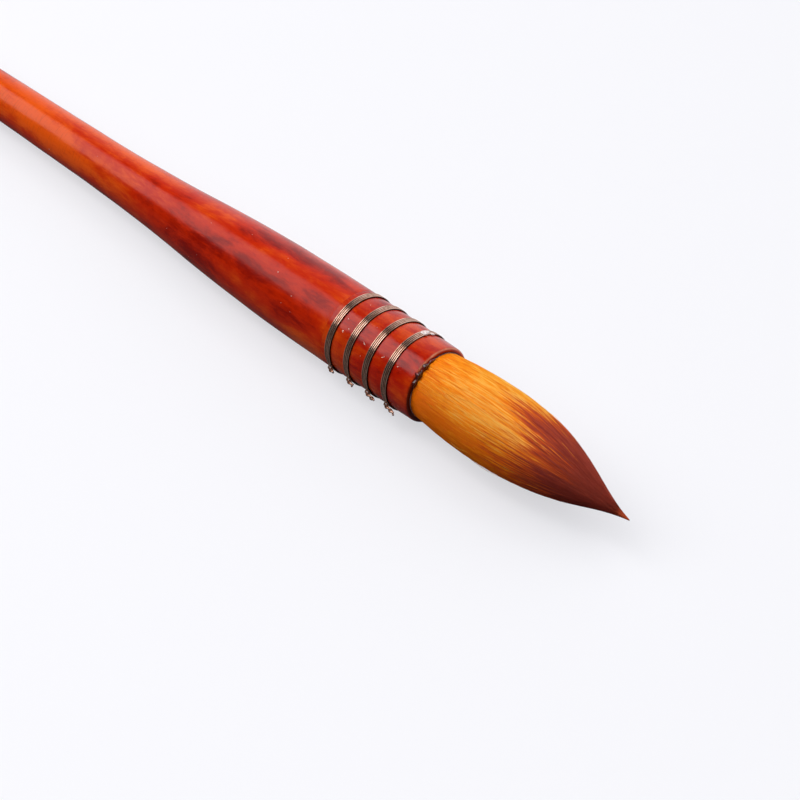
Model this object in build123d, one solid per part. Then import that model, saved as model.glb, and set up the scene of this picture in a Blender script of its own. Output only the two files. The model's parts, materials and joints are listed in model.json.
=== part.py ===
# Wire-bound quill mop brush for calligraphy and wash painting, lying on its side.
# A lacquered wooden handle is pushed into a tube of quill, four bands of bronze wire squeeze the tube
# onto the handle and the hair, and the round head of hair bends where it leaves the tube.
# Millimetres. Each piece is drawn along +X with the tube's mouth at x = 0, and the whole brush is then
# laid down on the plane z = 0, touching it with its handle's end and the handle's swell.
from build123d import *

import os
from math import atan, cos, degrees, radians, sin, sqrt

# Driving dimensions ---------------------------------------------------------------------------

# Quill tube
tube_length = 18.0
tube_rear_radius = 6.41
tube_mouth_radius = 6.10
tube_wall = 0.80
rim_round = 0.22  # rounding of the mouth's outer edge
rear_round = 0.10  # rounding of the edge that meets the handle

# Wire bands
wire_diameter = 0.30
wire_turns = 4
band_count = 4
band_pitch = 3.96
front_band_setback = 4.66  # from the mouth back to the middle of the front band
band_bite = 0.10  # how deep a band presses into the tube
band_side_gap = 0.06  # beside each band in its seat
solder_fill = 0.62  # height of the valley between two turns, as a share of the wire
twist_lengths = (0.3, 0.6, 1.1, 1.5)  # twisted wire ends, from the rear band to the front band
twist_angle = -27.0  # degrees from -Y towards -Z, where the twisted ends lie
twist_radius = 0.27
twist_lean = 21.0  # degrees by which each twisted end stands off the tube
twist_start = 0.25  # behind the band's middle

# Handle
handle_length = 165.0  # from its shoulder at the tube to its rear end
swell_land = 4.0  # nearly straight stretch behind the shoulder
swell_length = 63.0  # from that stretch down to the waist
swell_lead = 30.4  # how far the swell's curve leaves it straight
waist_lead = 32.6  # how far the waist's curve arrives straight
waist_radius = 4.03
tail_radius = 3.0
tail_length = 12.0
spigot_length = 7.5
spigot_chamfer = 0.5

# Inside the tube
fit_gap = 0.03  # glue line between the tube and what is glued in it
plug_length = 2.0
thread_diameter = 0.30
thread_turns = 5
thread_setback = 5.0  # from the mouth back to the middle of the binding thread

# Hair
hair_length = 38.0  # from the mouth to the tip
belly_at = 10.6  # from the mouth to the fattest part
belly_radius = 5.98
bend_at = 5.0  # from the mouth to the bend
neck_share = 0.78  # how far the hair has swelled towards its belly at the bend
belly_lead = 15.9  # how far the belly's curve leaves it level
tip_lead = 7.8  # how far the tip's curve arrives straight
tip_lead_radius = 1.47
tip_radius = 0.12
root_lip = 1.5  # how far the fixed hair stands out of the mouth
bend_clearance = 0.30  # between the moving hair's ball and the fixed hair's cup
core_share = 0.55  # radius of the inner bundle, as a share of the hair's
layer_gap = 0.03  # between the inner bundle and the cover hair
core_setback = 6.0  # from the tip back to the inner bundle's own tip

# Lacquer bead that seals the hair at the mouth
bead_thickness = 0.50
bead_width = 0.55
bead_gap = 0.02

# Worked out from the driving dimensions -------------------------------------------------------

shoulder_x = -tube_length
spigot_end_x = shoulder_x + spigot_length
plug_end_x = spigot_end_x + plug_length
rear_x = shoulder_x - handle_length
band_width = wire_turns * wire_diameter
rear_band_x = -front_band_setback - (band_count - 1) * band_pitch
band_places = [rear_band_x + i * band_pitch for i in range(band_count)]
seat_half = band_width / 2 + band_side_gap


def tube_radius(x):
    """Radius of the tube's outer taper at x."""
    return tube_mouth_radius + (tube_mouth_radius - tube_rear_radius) * x / tube_length


def glued_radius(x):
    """Radius at x of what is glued inside the tube."""
    return tube_radius(x) - tube_wall - fit_gap


root_radius = glued_radius(0.0)
neck_radius = root_radius + neck_share * (belly_radius - root_radius)
cup_radius = neck_radius + bend_clearance


def standing_radius(x):
    """Radius of the fixed hair at x, between the mouth and the bend."""
    return root_radius + (neck_radius - root_radius) * x / bend_at


def revolved(outline):
    """Solid of a closed outline, drawn as radius (Y) over length (X), turned about the brush's axis."""
    return revolve(make_face(outline), Axis.X)


def closed(points):
    """Straight lines through the points and back to the first."""
    return [Line(a, b) for a, b in zip(points, points[1:] + points[:1])]


def wound_band(middle, inner_radius, strand, turns):
    """Turns of one strand laid side by side, each a round crown, on a common inner face."""
    edges = [middle + (i - turns / 2) * strand for i in range(turns + 1)]
    valley = inner_radius + solder_fill * strand
    crown = inner_radius + strand
    crowns = [
        ThreePointArc((a, valley), ((a + b) / 2, crown), (b, valley))
        for a, b in zip(edges, edges[1:])
    ]
    foot = [
        Line((edges[-1], valley), (edges[-1], inner_radius)),
        Line((edges[-1], inner_radius), (edges[0], inner_radius)),
        Line((edges[0], inner_radius), (edges[0], valley)),
    ]
    return revolved(crowns + foot)


# Pieces ---------------------------------------------------------------------------------------


def swell_curve():
    """The handle's flank, from the stretch behind the shoulder down to the waist."""
    swell_x = shoulder_x - swell_land
    waist_x = swell_x - swell_length
    slope = (waist_radius - tail_radius) / (waist_x - rear_x - tail_radius - tail_length)
    return Bezier(
        (swell_x, tube_rear_radius),
        (swell_x - swell_lead, tube_rear_radius - 0.003 * swell_lead),
        (waist_x + waist_lead, waist_radius + slope * waist_lead),
        (waist_x, waist_radius),
    )


def handle():
    """Turned wooden handle, with the spigot that is glued in the tube."""
    flank = swell_curve()
    dome_x = rear_x + tail_radius
    tail_x = dome_x + tail_length
    chamfer_x = spigot_end_x - spigot_chamfer
    spigot_radius = glued_radius(spigot_end_x)
    arc_mid = tail_radius * sqrt(0.5)
    outline = [
        ThreePointArc((rear_x, 0), (dome_x - arc_mid, arc_mid), (dome_x, tail_radius)),
        Line((dome_x, tail_radius), (tail_x, tail_radius)),
        Line((tail_x, tail_radius), flank @ 1),
        flank,
        Line(flank @ 0, (shoulder_x - rear_round, tube_rear_radius)),
        Line((shoulder_x - rear_round, tube_rear_radius), (shoulder_x, tube_rear_radius - rear_round)),
        Line((shoulder_x, tube_rear_radius - rear_round), (shoulder_x, glued_radius(shoulder_x))),
        Line((shoulder_x, glued_radius(shoulder_x)), (chamfer_x, glued_radius(chamfer_x))),
        Line((chamfer_x, glued_radius(chamfer_x)), (spigot_end_x, spigot_radius - spigot_chamfer)),
        Line((spigot_end_x, spigot_radius - spigot_chamfer), (spigot_end_x, 0)),
        Line((spigot_end_x, 0), (rear_x, 0)),
    ]
    return revolved(outline)


def seat_radius(x):
    """Radius of the tube under the band whose middle is at x."""
    return tube_radius(x) - band_bite


def bulge(start_x, start_radius, end_x, end_radius):
    """The tube's skin between two bands, swelling out to the tube's taper half way."""
    middle_x = (start_x + end_x) / 2
    return ThreePointArc(
        (start_x, start_radius), (middle_x, tube_radius(middle_x)), (end_x, end_radius)
    )


def quill_tube():
    """Thin tube, pinched under each wire band and gently swollen between them."""
    start_x = shoulder_x + rear_round
    start_radius = tube_rear_radius
    outline = [Line((shoulder_x, start_radius - rear_round), (start_x, start_radius))]
    first_seat = band_places[0] - seat_half
    outline.append(Line((start_x, start_radius), (first_seat, seat_radius(band_places[0]))))
    for i, place in enumerate(band_places):
        radius = seat_radius(place)
        seat_end = place + seat_half
        outline.append(Line((place - seat_half, radius), (seat_end, radius)))
        if i + 1 < band_count:
            next_place = band_places[i + 1]
            outline.append(bulge(seat_end, radius, next_place - seat_half, seat_radius(next_place)))
    rim_x = -rim_round
    outer = tube_radius(rim_x)
    outline.append(bulge(band_places[-1] + seat_half, seat_radius(band_places[-1]), rim_x, outer))
    arc_mid = rim_round * sqrt(0.5)
    centre = outer - rim_round
    outline.append(ThreePointArc((rim_x, outer), (rim_x + arc_mid, centre + arc_mid), (0, centre)))
    bore_mouth = tube_mouth_radius - tube_wall
    bore_rear = tube_rear_radius - tube_wall
    outline += [
        Line((0, centre), (0, bore_mouth)),
        Line((0, bore_mouth), (shoulder_x, bore_rear)),
        Line((shoulder_x, bore_rear), (shoulder_x, tube_rear_radius - rear_round)),
    ]
    return revolved(outline)


def twisted_end(middle, length):
    """The band's two wire ends, twisted together, led forward and standing off the tube."""
    reach = (twist_start + band_width / 2 + length) / cos(radians(twist_lean))
    foot_radius = seat_radius(middle) + wire_diameter
    bar = Cylinder(twist_radius, reach, align=(Align.CENTER, Align.CENTER, Align.MIN))
    bar = fillet(bar.edges().filter_by(GeomType.CIRCLE).sort_by(Axis.Z)[-1], 0.6 * twist_radius)
    at = Pos(middle - twist_start, -foot_radius, 0) * Rot(0, 0, -twist_lean) * Rot(0, 90, 0)
    return Rot(-twist_angle, 0, 0) * at * bar


def wire_ring(middle, length):
    """One band of wire with its twisted end."""
    band = wound_band(middle, seat_radius(middle), wire_diameter, wire_turns)
    return band + twisted_end(middle, length)


def resin_plug():
    """Resin that joins the handle's spigot to the hair's tied root."""
    return revolved(
        closed(
            [
                (spigot_end_x, 0),
                (spigot_end_x, glued_radius(spigot_end_x)),
                (plug_end_x, glued_radius(plug_end_x)),
                (plug_end_x, 0),
            ]
        )
    )


def thread_radius():
    """Inner radius of the binding thread, whose crowns are flush with the hair around it."""
    return glued_radius(-thread_setback) - thread_diameter


def root_thread():
    """Thread that ties the hair's root."""
    return wound_band(-thread_setback, thread_radius(), thread_diameter, thread_turns)


def hair_root():
    """The hair's fixed root: tied, glued in the tube, and hollowed in front for the bend."""
    half_groove = thread_turns * thread_diameter / 2
    groove_rear = -thread_setback - half_groove
    groove_front = -thread_setback + half_groove
    reach = bend_at - root_lip
    cup_edge = sqrt(cup_radius**2 - reach**2)
    half_turn = atan(cup_edge / reach) / 2
    cup_mid = (bend_at - cup_radius * cos(half_turn), cup_radius * sin(half_turn))
    points = [
        (bend_at - cup_radius, 0),
        (plug_end_x, 0),
        (plug_end_x, glued_radius(plug_end_x)),
        (groove_rear, glued_radius(groove_rear)),
        (groove_rear, thread_radius()),
        (groove_front, thread_radius()),
        (groove_front, glued_radius(groove_front)),
        (0, root_radius),
        (root_lip, standing_radius(root_lip)),
        (root_lip, cup_edge),
    ]
    outline = [Line(a, b) for a, b in zip(points, points[1:])]
    outline.append(ThreePointArc(points[-1], cup_mid, points[0]))
    return revolved(outline)


def mouth_bead():
    """Bead of lacquer on the tube's rim, close around the hair, with a round crown."""
    inner = max(root_radius, standing_radius(bead_thickness)) + bead_gap
    outer = inner + bead_width
    shoulder = max(bead_thickness - bead_width / 2, 0.1 * bead_thickness)
    outline = [
        Line((0, outer), (shoulder, outer)),
        ThreePointArc((shoulder, outer), (bead_thickness, (inner + outer) / 2), (shoulder, inner)),
        Line((shoulder, inner), (0, inner)),
        Line((0, inner), (0, outer)),
    ]
    return revolved(outline)


def hair_outline(share, length, gap):
    """Closed outline of hair that moves: a ball about the bend, then the belly and the tip."""
    neck = neck_radius * share - gap
    belly = belly_radius * share - gap
    ball_x = bend_at - sqrt(neck_radius**2 - neck**2)
    ball_pole = bend_at - neck_radius
    half_turn = atan(neck / (bend_at - ball_x)) / 2 if ball_x < bend_at else radians(45)
    ball_mid = (bend_at - neck_radius * cos(half_turn), neck_radius * sin(half_turn))
    belly_curve = belly_lead * (length - belly_at) / (hair_length - belly_at)
    outline = [
        ThreePointArc((ball_pole, 0), ball_mid, (ball_x, neck)),
        Bezier(
            (bend_at, neck),
            (bend_at + (belly_at - bend_at) / 3, neck + (belly - neck) * 0.6),
            (belly_at - (belly_at - bend_at) / 3, belly),
            (belly_at, belly),
        ),
        Bezier(
            (belly_at, belly),
            (belly_at + belly_curve, belly),
            (length - tip_lead, tip_lead_radius * share),
            (length, tip_radius),
        ),
        Line((length, tip_radius), (length, 0)),
        Line((length, 0), (ball_pole, 0)),
    ]
    if ball_x < bend_at:
        outline.append(Line((ball_x, neck), (bend_at, neck)))
    return outline


def core_hair():
    """Inner bundle of stiffer hair."""
    return revolved(hair_outline(core_share, hair_length - core_setback, layer_gap))


def cover_hair():
    """Cover of long hair laid around the inner bundle, which closes to the tip."""
    hollow = revolved(hair_outline(core_share, hair_length - core_setback, 0.0))
    return revolved(hair_outline(1.0, hair_length, 0.0)) - hollow


# Laying the brush down ------------------------------------------------------------------------


def lying_tilt():
    """Angle that brings the handle's end and the fattest thing in front of it to one plane."""
    dome_x = rear_x + tail_radius
    crown = wire_diameter - band_bite
    flank = [swell_curve() @ (i / 40) for i in range(41)]
    touching = [(p.X, p.Y) for p in flank]
    for place in band_places:
        for turn in range(wire_turns):
            turn_x = place + (turn + 0.5 - wire_turns / 2) * wire_diameter
            touching.append((turn_x, tube_radius(place) + crown))
    touching.append((belly_at, belly_radius))
    return max(atan((radius - tail_radius) / (x - dome_x)) for x, radius in touching)


tilt = lying_tilt()
floor_drop = tail_radius - (rear_x + tail_radius) * sin(tilt)
rear_reach = (rear_x + tail_radius) * cos(tilt) - tail_radius
front_reach = hair_length * cos(tilt) + tip_radius * sin(tilt)
middle_shift = -(rear_reach + front_reach) / 2


def laid_down(piece):
    """A piece turned and moved from the brush's own axis to its place on the floor."""
    return Pos(middle_shift, 0, floor_drop) * Rot(0, -degrees(tilt), 0) * piece


def placed_point(x, radius=0.0):
    """Where a point of the brush's own axis, or above it by a radius, lies on the floor."""
    along = x * cos(tilt) - radius * sin(tilt)
    return (along + middle_shift, 0.0, x * sin(tilt) + radius * cos(tilt) + floor_drop)


pieces = {
    "handle": handle(),
    "quill_tube": quill_tube(),
    "resin_plug": resin_plug(),
    "root_thread": root_thread(),
    "hair_root": hair_root(),
    "mouth_bead": mouth_bead(),
    "cover_hair": cover_hair(),
    "core_hair": core_hair(),
}
for number, (place, length) in enumerate(zip(band_places, twist_lengths), start=1):
    pieces[f"wire_ring_{number}"] = wire_ring(place, length)

os.makedirs("parts", exist_ok=True)
for name, piece in pieces.items():
    export_step(laid_down(piece), f"parts/{name}.step")
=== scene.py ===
"""Looks of a wire-bound quill mop brush: lacquered handle and tube, bronze wire bands and a head of
dipped hair."""

import json

import bpy
import numpy as np
from bpy.props import FloatProperty, FloatVectorProperty, IntProperty, PointerProperty
from mathutils import Matrix, Vector


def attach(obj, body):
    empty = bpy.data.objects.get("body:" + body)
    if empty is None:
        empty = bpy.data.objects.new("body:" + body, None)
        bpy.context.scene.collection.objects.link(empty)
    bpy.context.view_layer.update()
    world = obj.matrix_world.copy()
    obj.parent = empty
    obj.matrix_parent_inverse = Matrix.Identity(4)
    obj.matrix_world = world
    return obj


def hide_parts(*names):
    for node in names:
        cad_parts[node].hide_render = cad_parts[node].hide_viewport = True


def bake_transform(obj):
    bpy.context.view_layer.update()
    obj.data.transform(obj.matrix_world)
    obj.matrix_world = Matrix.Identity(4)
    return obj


bl_info = {
    "name": "Quill mop brush",
    "version": (1, 0, 0),
    "blender": (4, 5, 0),
    "location": "View3D > Sidebar > Mop brush",
    "description": "Makes a lacquered, wire-bound mop brush and its studio stage",
    "category": "Add Mesh",
}

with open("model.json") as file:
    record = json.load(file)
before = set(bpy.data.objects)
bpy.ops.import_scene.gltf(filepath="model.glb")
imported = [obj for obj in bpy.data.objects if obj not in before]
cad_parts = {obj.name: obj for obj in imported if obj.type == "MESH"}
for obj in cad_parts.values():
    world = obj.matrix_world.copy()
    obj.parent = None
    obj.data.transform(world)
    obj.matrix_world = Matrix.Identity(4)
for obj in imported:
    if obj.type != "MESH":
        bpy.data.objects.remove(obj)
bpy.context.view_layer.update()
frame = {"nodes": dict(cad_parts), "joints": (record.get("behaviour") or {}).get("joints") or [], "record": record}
MM = 0.001
RECORD = frame["record"]
HINGE = np.array(frame["joints"][0]["pos_m"], float)
AXIS = np.array(next(m["axis"] for m in RECORD["mounts"] if m["name"] == "grip"), float)
AXIS /= np.linalg.norm(AXIS)
SIDE = np.array([0.0, 1.0, 0.0])
UP = np.cross(AXIS, SIDE)
TURN = 2 * np.pi


# Sizes and colours that a user would change ---------------------------------------------------


def length(name, mm, description):
    """A length property, written in millimetres and kept in metres."""
    return FloatProperty(
        name=name, description=description, default=mm * MM, subtype="DISTANCE", unit="LENGTH", precision=5
    )


def colour(name, red, green, blue, description):
    """A colour property, written as screen values from 0 to 255 and kept as scene values."""
    screen = np.array([red, green, blue]) / 255
    scene = np.where(screen <= 0.04045, screen / 12.92, ((screen + 0.055) / 1.055) ** 2.4)
    return FloatVectorProperty(
        name=name, description=description, default=tuple(scene), subtype="COLOR", min=0, max=1
    )


class BrushSizes(bpy.types.PropertyGroup):
    """Sizes of the brush, which repeat those of its frame."""

    bend_at: length("Bend", 5.0, "From the tube's mouth to the bend of the hair")
    tube_length: length("Tube length", 18.0, "From the handle's shoulder to the mouth")
    tube_rear: length("Tube rear radius", 6.41, "Outer radius of the tube at the handle")
    tube_mouth: length("Tube mouth radius", 6.10, "Outer radius of the tube at its mouth")
    tube_wall: length("Tube wall", 0.80, "Thickness of the tube")
    rim_round: length("Rim rounding", 0.38, "Rounding of the mouth's edge")
    band_bite: length("Band bite", 0.10, "How deep a wire band presses into the tube")
    wire: length("Wire", 0.30, "Diameter of the binding wire")
    meniscus: length("Lacquer fillet", 0.075, "How high the lacquer climbs beside a wire band")
    handle_length: length("Handle length", 165.0, "From the shoulder to the rear end")
    swell_land: length("Swell land", 4.0, "Nearly straight stretch behind the shoulder")
    swell_length: length("Swell length", 63.0, "From that stretch down to the waist")
    swell_lead: length("Swell lead", 30.4, "How far the swell's curve leaves it straight")
    waist_lead: length("Waist lead", 32.6, "How far the waist's curve arrives straight")
    waist: length("Waist radius", 4.03, "Radius of the handle's waist")
    tail: length("Tail radius", 3.0, "Radius of the handle's end")
    tail_length: length("Tail length", 12.0, "Straight stretch at the handle's end")
    hair_length: length("Hair length", 38.0, "From the mouth to the tip")
    hair_root: length("Hair root radius", 5.27, "Radius of the hair in the mouth")
    belly_at: length("Belly place", 10.6, "From the mouth to the fattest part of the hair")
    belly: length("Belly radius", 5.98, "Greatest radius of the hair")
    hair: length("Hair thickness", 0.10, "Thickness of one hair at its belly")
    tip_droop: length("Tip droop", 0.45, "How far the tip leans off the brush's axis")


class BrushLooks(bpy.types.PropertyGroup):
    """Colours and counts of the finish."""

    lacquer_red: colour("Lacquer red", 192, 36, 0, "Deep red of the lacquer")
    tube_red: colour("Tube red", 178, 26, 0, "Deeper red of the lacquer on the tube")
    lacquer_orange: colour("Lacquer orange", 228, 84, 12, "Orange where the wood shines through")
    lacquer_dark: colour("Lacquer dark", 128, 6, 0, "Dark red where the lacquer is thick")
    wire_bronze: colour("Bronze", 236, 190, 168, "Clean bronze of the wire")
    wire_brown: colour("Aged bronze", 192, 138, 112, "Brown patches on the wire")
    # Painted shade for the hollows between the turns of wire.
    wire_hollow: colour("Wire hollows", 40, 14, 8, "Dark film between the turns")
    glue: colour("Glue", 58, 16, 12, "Dark lacquer that seals the hair")
    # Pale colour for painted highlights on the glue's edge and the glue drop, and for dust specks in the lacquer.
    pale_dust_and_highlight: colour("Pale glue", 206, 160, 150, "Thin dried edge of the glue, and specks in the lacquer")
    amber: colour("Amber", 250, 152, 12, "Main colour of the hair")
    amber_light: colour("Light amber", 255, 194, 84, "Lightest hairs")
    amber_dark: colour("Dark amber", 238, 114, 0, "Darkest hairs above the dip")
    dip: colour("Dip", 168, 67, 50, "Red-brown of the dipped tip")
    dip_dark: colour("Dark dip", 138, 47, 35, "Darkest hairs of the tip")
    dip_warm: colour("Warm dip", 214, 84, 24, "Hair at the edge of the dip")
    floor: colour("Floor", 246, 246, 250, "Pale studio floor")
    hairs: IntProperty(
        name="Hairs in a layer", description="Hairs in each layer of the head", default=1900, min=100
    )
    seed: IntProperty(name="Seed", description="Start of every random draw", default=7)


def sizes():
    return bpy.context.scene.brush_sizes


def looks():
    return bpy.context.scene.brush_looks


# Shapes in the brush's own coordinates --------------------------------------------------------


def mouth():
    """Centre of the tube's mouth: the hinge, back along the axis by the bend's distance."""
    return HINGE - AXIS * sizes().bend_at


def place(points):
    """Turns points (along, side, up) of the brush into the frame's own: mouth plus a share of each
    axis."""
    return mouth() + points @ np.array([AXIS, SIDE, UP])


def around(along, radius, angle):
    """Points on circles about the axis: (along, radius cos angle, radius sin angle), as whole arrays."""
    along, radius, angle = np.broadcast_arrays(along, radius, angle)
    return np.stack([along, radius * np.cos(angle), radius * np.sin(angle)], axis=-1)


def bezier(points, steps):
    """Points of a cubic curve: the cube of (1 - t) of the first, and so on to t cubed of the last."""
    t = np.linspace(0, 1, steps)[:, None]
    a, b, c, d = np.array(points, float)
    return (1 - t) ** 3 * a + 3 * (1 - t) ** 2 * t * b + 3 * (1 - t) * t**2 * c + t**3 * d


def smooth(low, high, value):
    """Zero below low, one above high, and 3t squared less 2t cubed between."""
    t = np.clip((value - low) / (high - low), 0, 1)
    return t * t * (3 - 2 * t)


def waves(seed, count, along, angle, reach, turns):
    """Soft lumps: a mean of count sines, each of its own length near reach and its own whole turns."""
    rng = np.random.default_rng(seed)
    total = 0.0
    for _ in range(count):
        rate = TURN / (reach * rng.uniform(0.6, 1.8))
        lobes = rng.integers(0, turns + 1)
        total = total + np.sin(along * rate + angle * lobes + rng.uniform(0, TURN))
    return total / count


def arc_points(centre, radius, start, end, steps):
    """Points of an arc in the plane of length and radius, from one angle to another."""
    t = np.linspace(start, end, steps)
    return np.stack([centre[0] + radius * np.cos(t), centre[1] + radius * np.sin(t)], axis=-1)


def evenly(outline, spacing):
    """An outline's corners and points between them, no further apart than spacing."""
    pieces = []
    for a, b in zip(outline[:-1], outline[1:]):
        count = max(1, int(np.ceil(np.linalg.norm(b - a) / spacing)))
        pieces.append(a + (b - a) * np.arange(count)[:, None] / count)
    return np.concatenate(pieces + [outline[-1:]])


def new_piece(name, points, faces, material, body=None):
    """A mesh object at the origin, with smooth faces and one material. body is the body it rides on; a piece
    without one rides on none."""
    mesh = bpy.data.meshes.new(name)
    mesh.from_pydata(points, [], faces)
    mesh.polygons.foreach_set("use_smooth", np.full(len(mesh.polygons), True))
    mesh.materials.append(material)
    mesh.update()
    piece = bpy.data.objects.new(name, mesh)
    bpy.context.scene.collection.objects.link(piece)
    if body:
        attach(piece, body)
    return piece


def add_values(piece, **values):
    """Float attributes on a piece's points, one array each."""
    for name, value in values.items():
        attribute = piece.data.attributes.new(name, "FLOAT", "POINT")
        attribute.data.foreach_set("value", np.asarray(value, np.float32).ravel())


def grid_faces(rows, columns, wrap_rows=False):
    """Four-sided faces of a grid whose columns close round: each cell's corners in turn."""
    last = rows if wrap_rows else rows - 1
    row, column = np.meshgrid(np.arange(last), np.arange(columns), indexing="ij")
    below, beside = (row + 1) % rows, (column + 1) % columns
    corners = [
        row * columns + column,
        row * columns + beside,
        below * columns + beside,
        below * columns + column,
    ]
    return np.stack(corners, axis=-1).reshape(-1, 4)


def end_fan(first, columns, centre):
    """Three-sided faces from a grid's last ring, which starts at point number first, to its centre
    point: the centre, each column and the next one."""
    column = np.arange(columns)
    return np.stack([np.full(columns, centre), first + column, first + (column + 1) % columns], axis=-1)


def closed_faces(rows, columns):
    """Faces of a grid and of its two ends, whose centre points follow the grid's own: first that of the
    first ring, whose fan runs the other way round, then that of the last."""
    centre = rows * columns
    first_end = end_fan(0, columns, centre)[:, [0, 2, 1]]
    last_end = end_fan(centre - columns, columns, centre + 1)
    return grid_faces(rows, columns).tolist() + first_end.tolist() + last_end.tolist()


def columns_round(columns):
    """Angles of a ring's columns: equal shares of a whole turn, from zero."""
    return np.arange(columns) * TURN / columns


def turned(name, outline, material, lumps, columns=96):
    """An outline of (along, radius) turned about the axis and closed by a point at each end. lumps adds
    to the radius as a function of length and angle."""
    angle = columns_round(columns)
    along, radius = outline[1:-1, 0][:, None], outline[1:-1, 1][:, None]
    rings = place(around(along, radius + lumps(along, angle), angle)).reshape(-1, 3)
    ends = place(np.array([[outline[0, 0], 0, 0], [outline[-1, 0], 0, 0]]))
    faces = closed_faces(len(outline) - 2, columns)
    return new_piece(name, np.concatenate([rings, ends]), faces, material, "brush")


def ring_shaped(name, outline, material, lumps, columns):
    """A closed outline of (along, radius) turned about the axis, with no ends. lumps moves its points
    as a function of length, radius and angle."""
    angle = columns_round(columns)
    along, radius = lumps(outline[:, 0][:, None], outline[:, 1][:, None], angle)
    points = place(around(along, radius, angle)).reshape(-1, 3)
    faces = grid_faces(len(outline), columns, wrap_rows=True)
    return new_piece(name, points, faces.tolist(), material, "brush")


def cad_points(node):
    """A CAD node's points, from the mouth."""
    vertices = frame["nodes"][node].data.vertices
    flat = np.empty(3 * len(vertices), np.float32)
    vertices.foreach_get("co", flat)
    return flat.reshape(-1, 3).astype(float) - mouth()


# Material tools -------------------------------------------------------------------------------


class Nodes:
    """Short calls to add and join the nodes of a material or a group."""

    def __init__(self, tree):
        self.tree = tree

    def add(self, kind, **settings):
        node = self.tree.nodes.new(kind)
        for name, value in settings.items():
            setattr(node, name, value)
        return node

    def join(self, source, target):
        self.tree.links.new(source, target)

    def put(self, socket, value):
        if isinstance(value, bpy.types.NodeSocket):
            self.join(value, socket)
        else:
            socket.default_value = value

    def math(self, operation, first, second=0.0, clamp=False):
        node = self.add("ShaderNodeMath", operation=operation, use_clamp=clamp)
        self.put(node.inputs[0], first)
        self.put(node.inputs[1], second)
        return node.outputs[0]

    def sum(self, *parts):
        """A sum of (value, weight) parts."""
        total = None
        for value, weight in parts:
            part = self.math("MULTIPLY", value, weight)
            total = part if total is None else self.math("ADD", total, part)
        return total

    def mix(self, share, first, second):
        node = self.add("ShaderNodeMix", data_type="RGBA")
        self.put(node.inputs["Factor"], share)
        self.put(node.inputs["A"], first)
        self.put(node.inputs["B"], second)
        return node.outputs["Result"]

    def noise(self, vector, scale, detail=3.0, roughness=0.5, distortion=0.0, shape="3D"):
        node = self.add("ShaderNodeTexNoise", noise_dimensions=shape)
        if shape == "1D":
            self.put(node.inputs["W"], vector)
        else:
            self.put(node.inputs["Vector"], vector)
        self.put(node.inputs["Scale"], scale)
        node.inputs["Detail"].default_value = detail
        node.inputs["Roughness"].default_value = roughness
        node.inputs["Distortion"].default_value = distortion
        return node.outputs["Fac"]

    def spread(self, value, low, high, to_low=0.0, to_high=1.0):
        """The value's share of the way from low to high, smoothed, from to_low to to_high."""
        node = self.add("ShaderNodeMapRange", interpolation_type="SMOOTHSTEP")
        for socket, number in zip(node.inputs[:5], (value, low, high, to_low, to_high)):
            self.put(socket, number)
        return node.outputs["Result"]

    def streaks(self, vector, along, across, scale, detail, roughness, distortion=0.0):
        """Noise that takes these shares of the vector's length and width, and so is drawn out where
        they are small."""
        node = self.add("ShaderNodeVectorMath", operation="MULTIPLY")
        self.put(node.inputs[0], vector)
        node.inputs[1].default_value = (along, across, across)
        return self.noise(node.outputs[0], scale, detail, roughness, distortion)

    def value(self, name):
        return self.add("ShaderNodeAttribute", attribute_name=name).outputs["Fac"]


def group_of(name, inputs, outputs):
    """An empty node group with the named inputs, each a (name, kind, default), and the named outputs, each
    a (name, kind)."""
    tree = bpy.data.node_groups.new(name, "ShaderNodeTree")
    for title, kind, default in inputs:
        socket = tree.interface.new_socket(name=title, in_out="INPUT", socket_type=kind)
        if default is not None:
            socket.default_value = default
    for title, kind in outputs:
        tree.interface.new_socket(name=title, in_out="OUTPUT", socket_type=kind)
    nodes = Nodes(tree)
    return tree, nodes, nodes.add("NodeGroupInput").outputs, nodes.add("NodeGroupOutput").inputs


def new_material(name):
    """A material with a lone Principled shader: its nodes, the shader and the material."""
    material = bpy.data.materials.new(name)
    material.use_nodes = True
    material.node_tree.nodes.clear()
    nodes = Nodes(material.node_tree)
    shader = nodes.add("ShaderNodeBsdfPrincipled")
    output = nodes.add("ShaderNodeOutputMaterial")
    nodes.join(shader.outputs[0], output.inputs[0])
    return material, nodes, shader.inputs


def brush_coordinates(nodes):
    """Millimetres along, across and above the brush's axis, from the mouth: object coordinates turned
    by the brush's tilt and moved by its mouth."""
    coordinates = nodes.add("ShaderNodeTexCoord").outputs["Object"]
    mapping = nodes.add("ShaderNodeMapping")
    tilt = float(np.arcsin(AXIS[2]))
    scale = 1 / MM
    turn = Matrix.Rotation(tilt, 3, "Y")
    mapping.inputs["Scale"].default_value = (scale, scale, scale)
    mapping.inputs["Rotation"].default_value = (0, tilt, 0)
    mapping.inputs["Location"].default_value = -(turn @ Vector(mouth() * scale))
    nodes.join(coordinates, mapping.inputs["Vector"])
    return mapping.outputs["Vector"]


def use_group(nodes, tree, **values):
    """A placed group with values on the inputs that are named (an underscore stands for a space)."""
    node = nodes.add("ShaderNodeGroup", node_tree=tree)
    for name, value in values.items():
        nodes.put(node.inputs[name.replace("_", " ")], value)
    return node.outputs


def bump(nodes, height, distance):
    node = nodes.add("ShaderNodeBump")
    nodes.join(height, node.inputs["Height"])
    node.inputs["Distance"].default_value = distance
    return node.outputs["Normal"]


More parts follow.
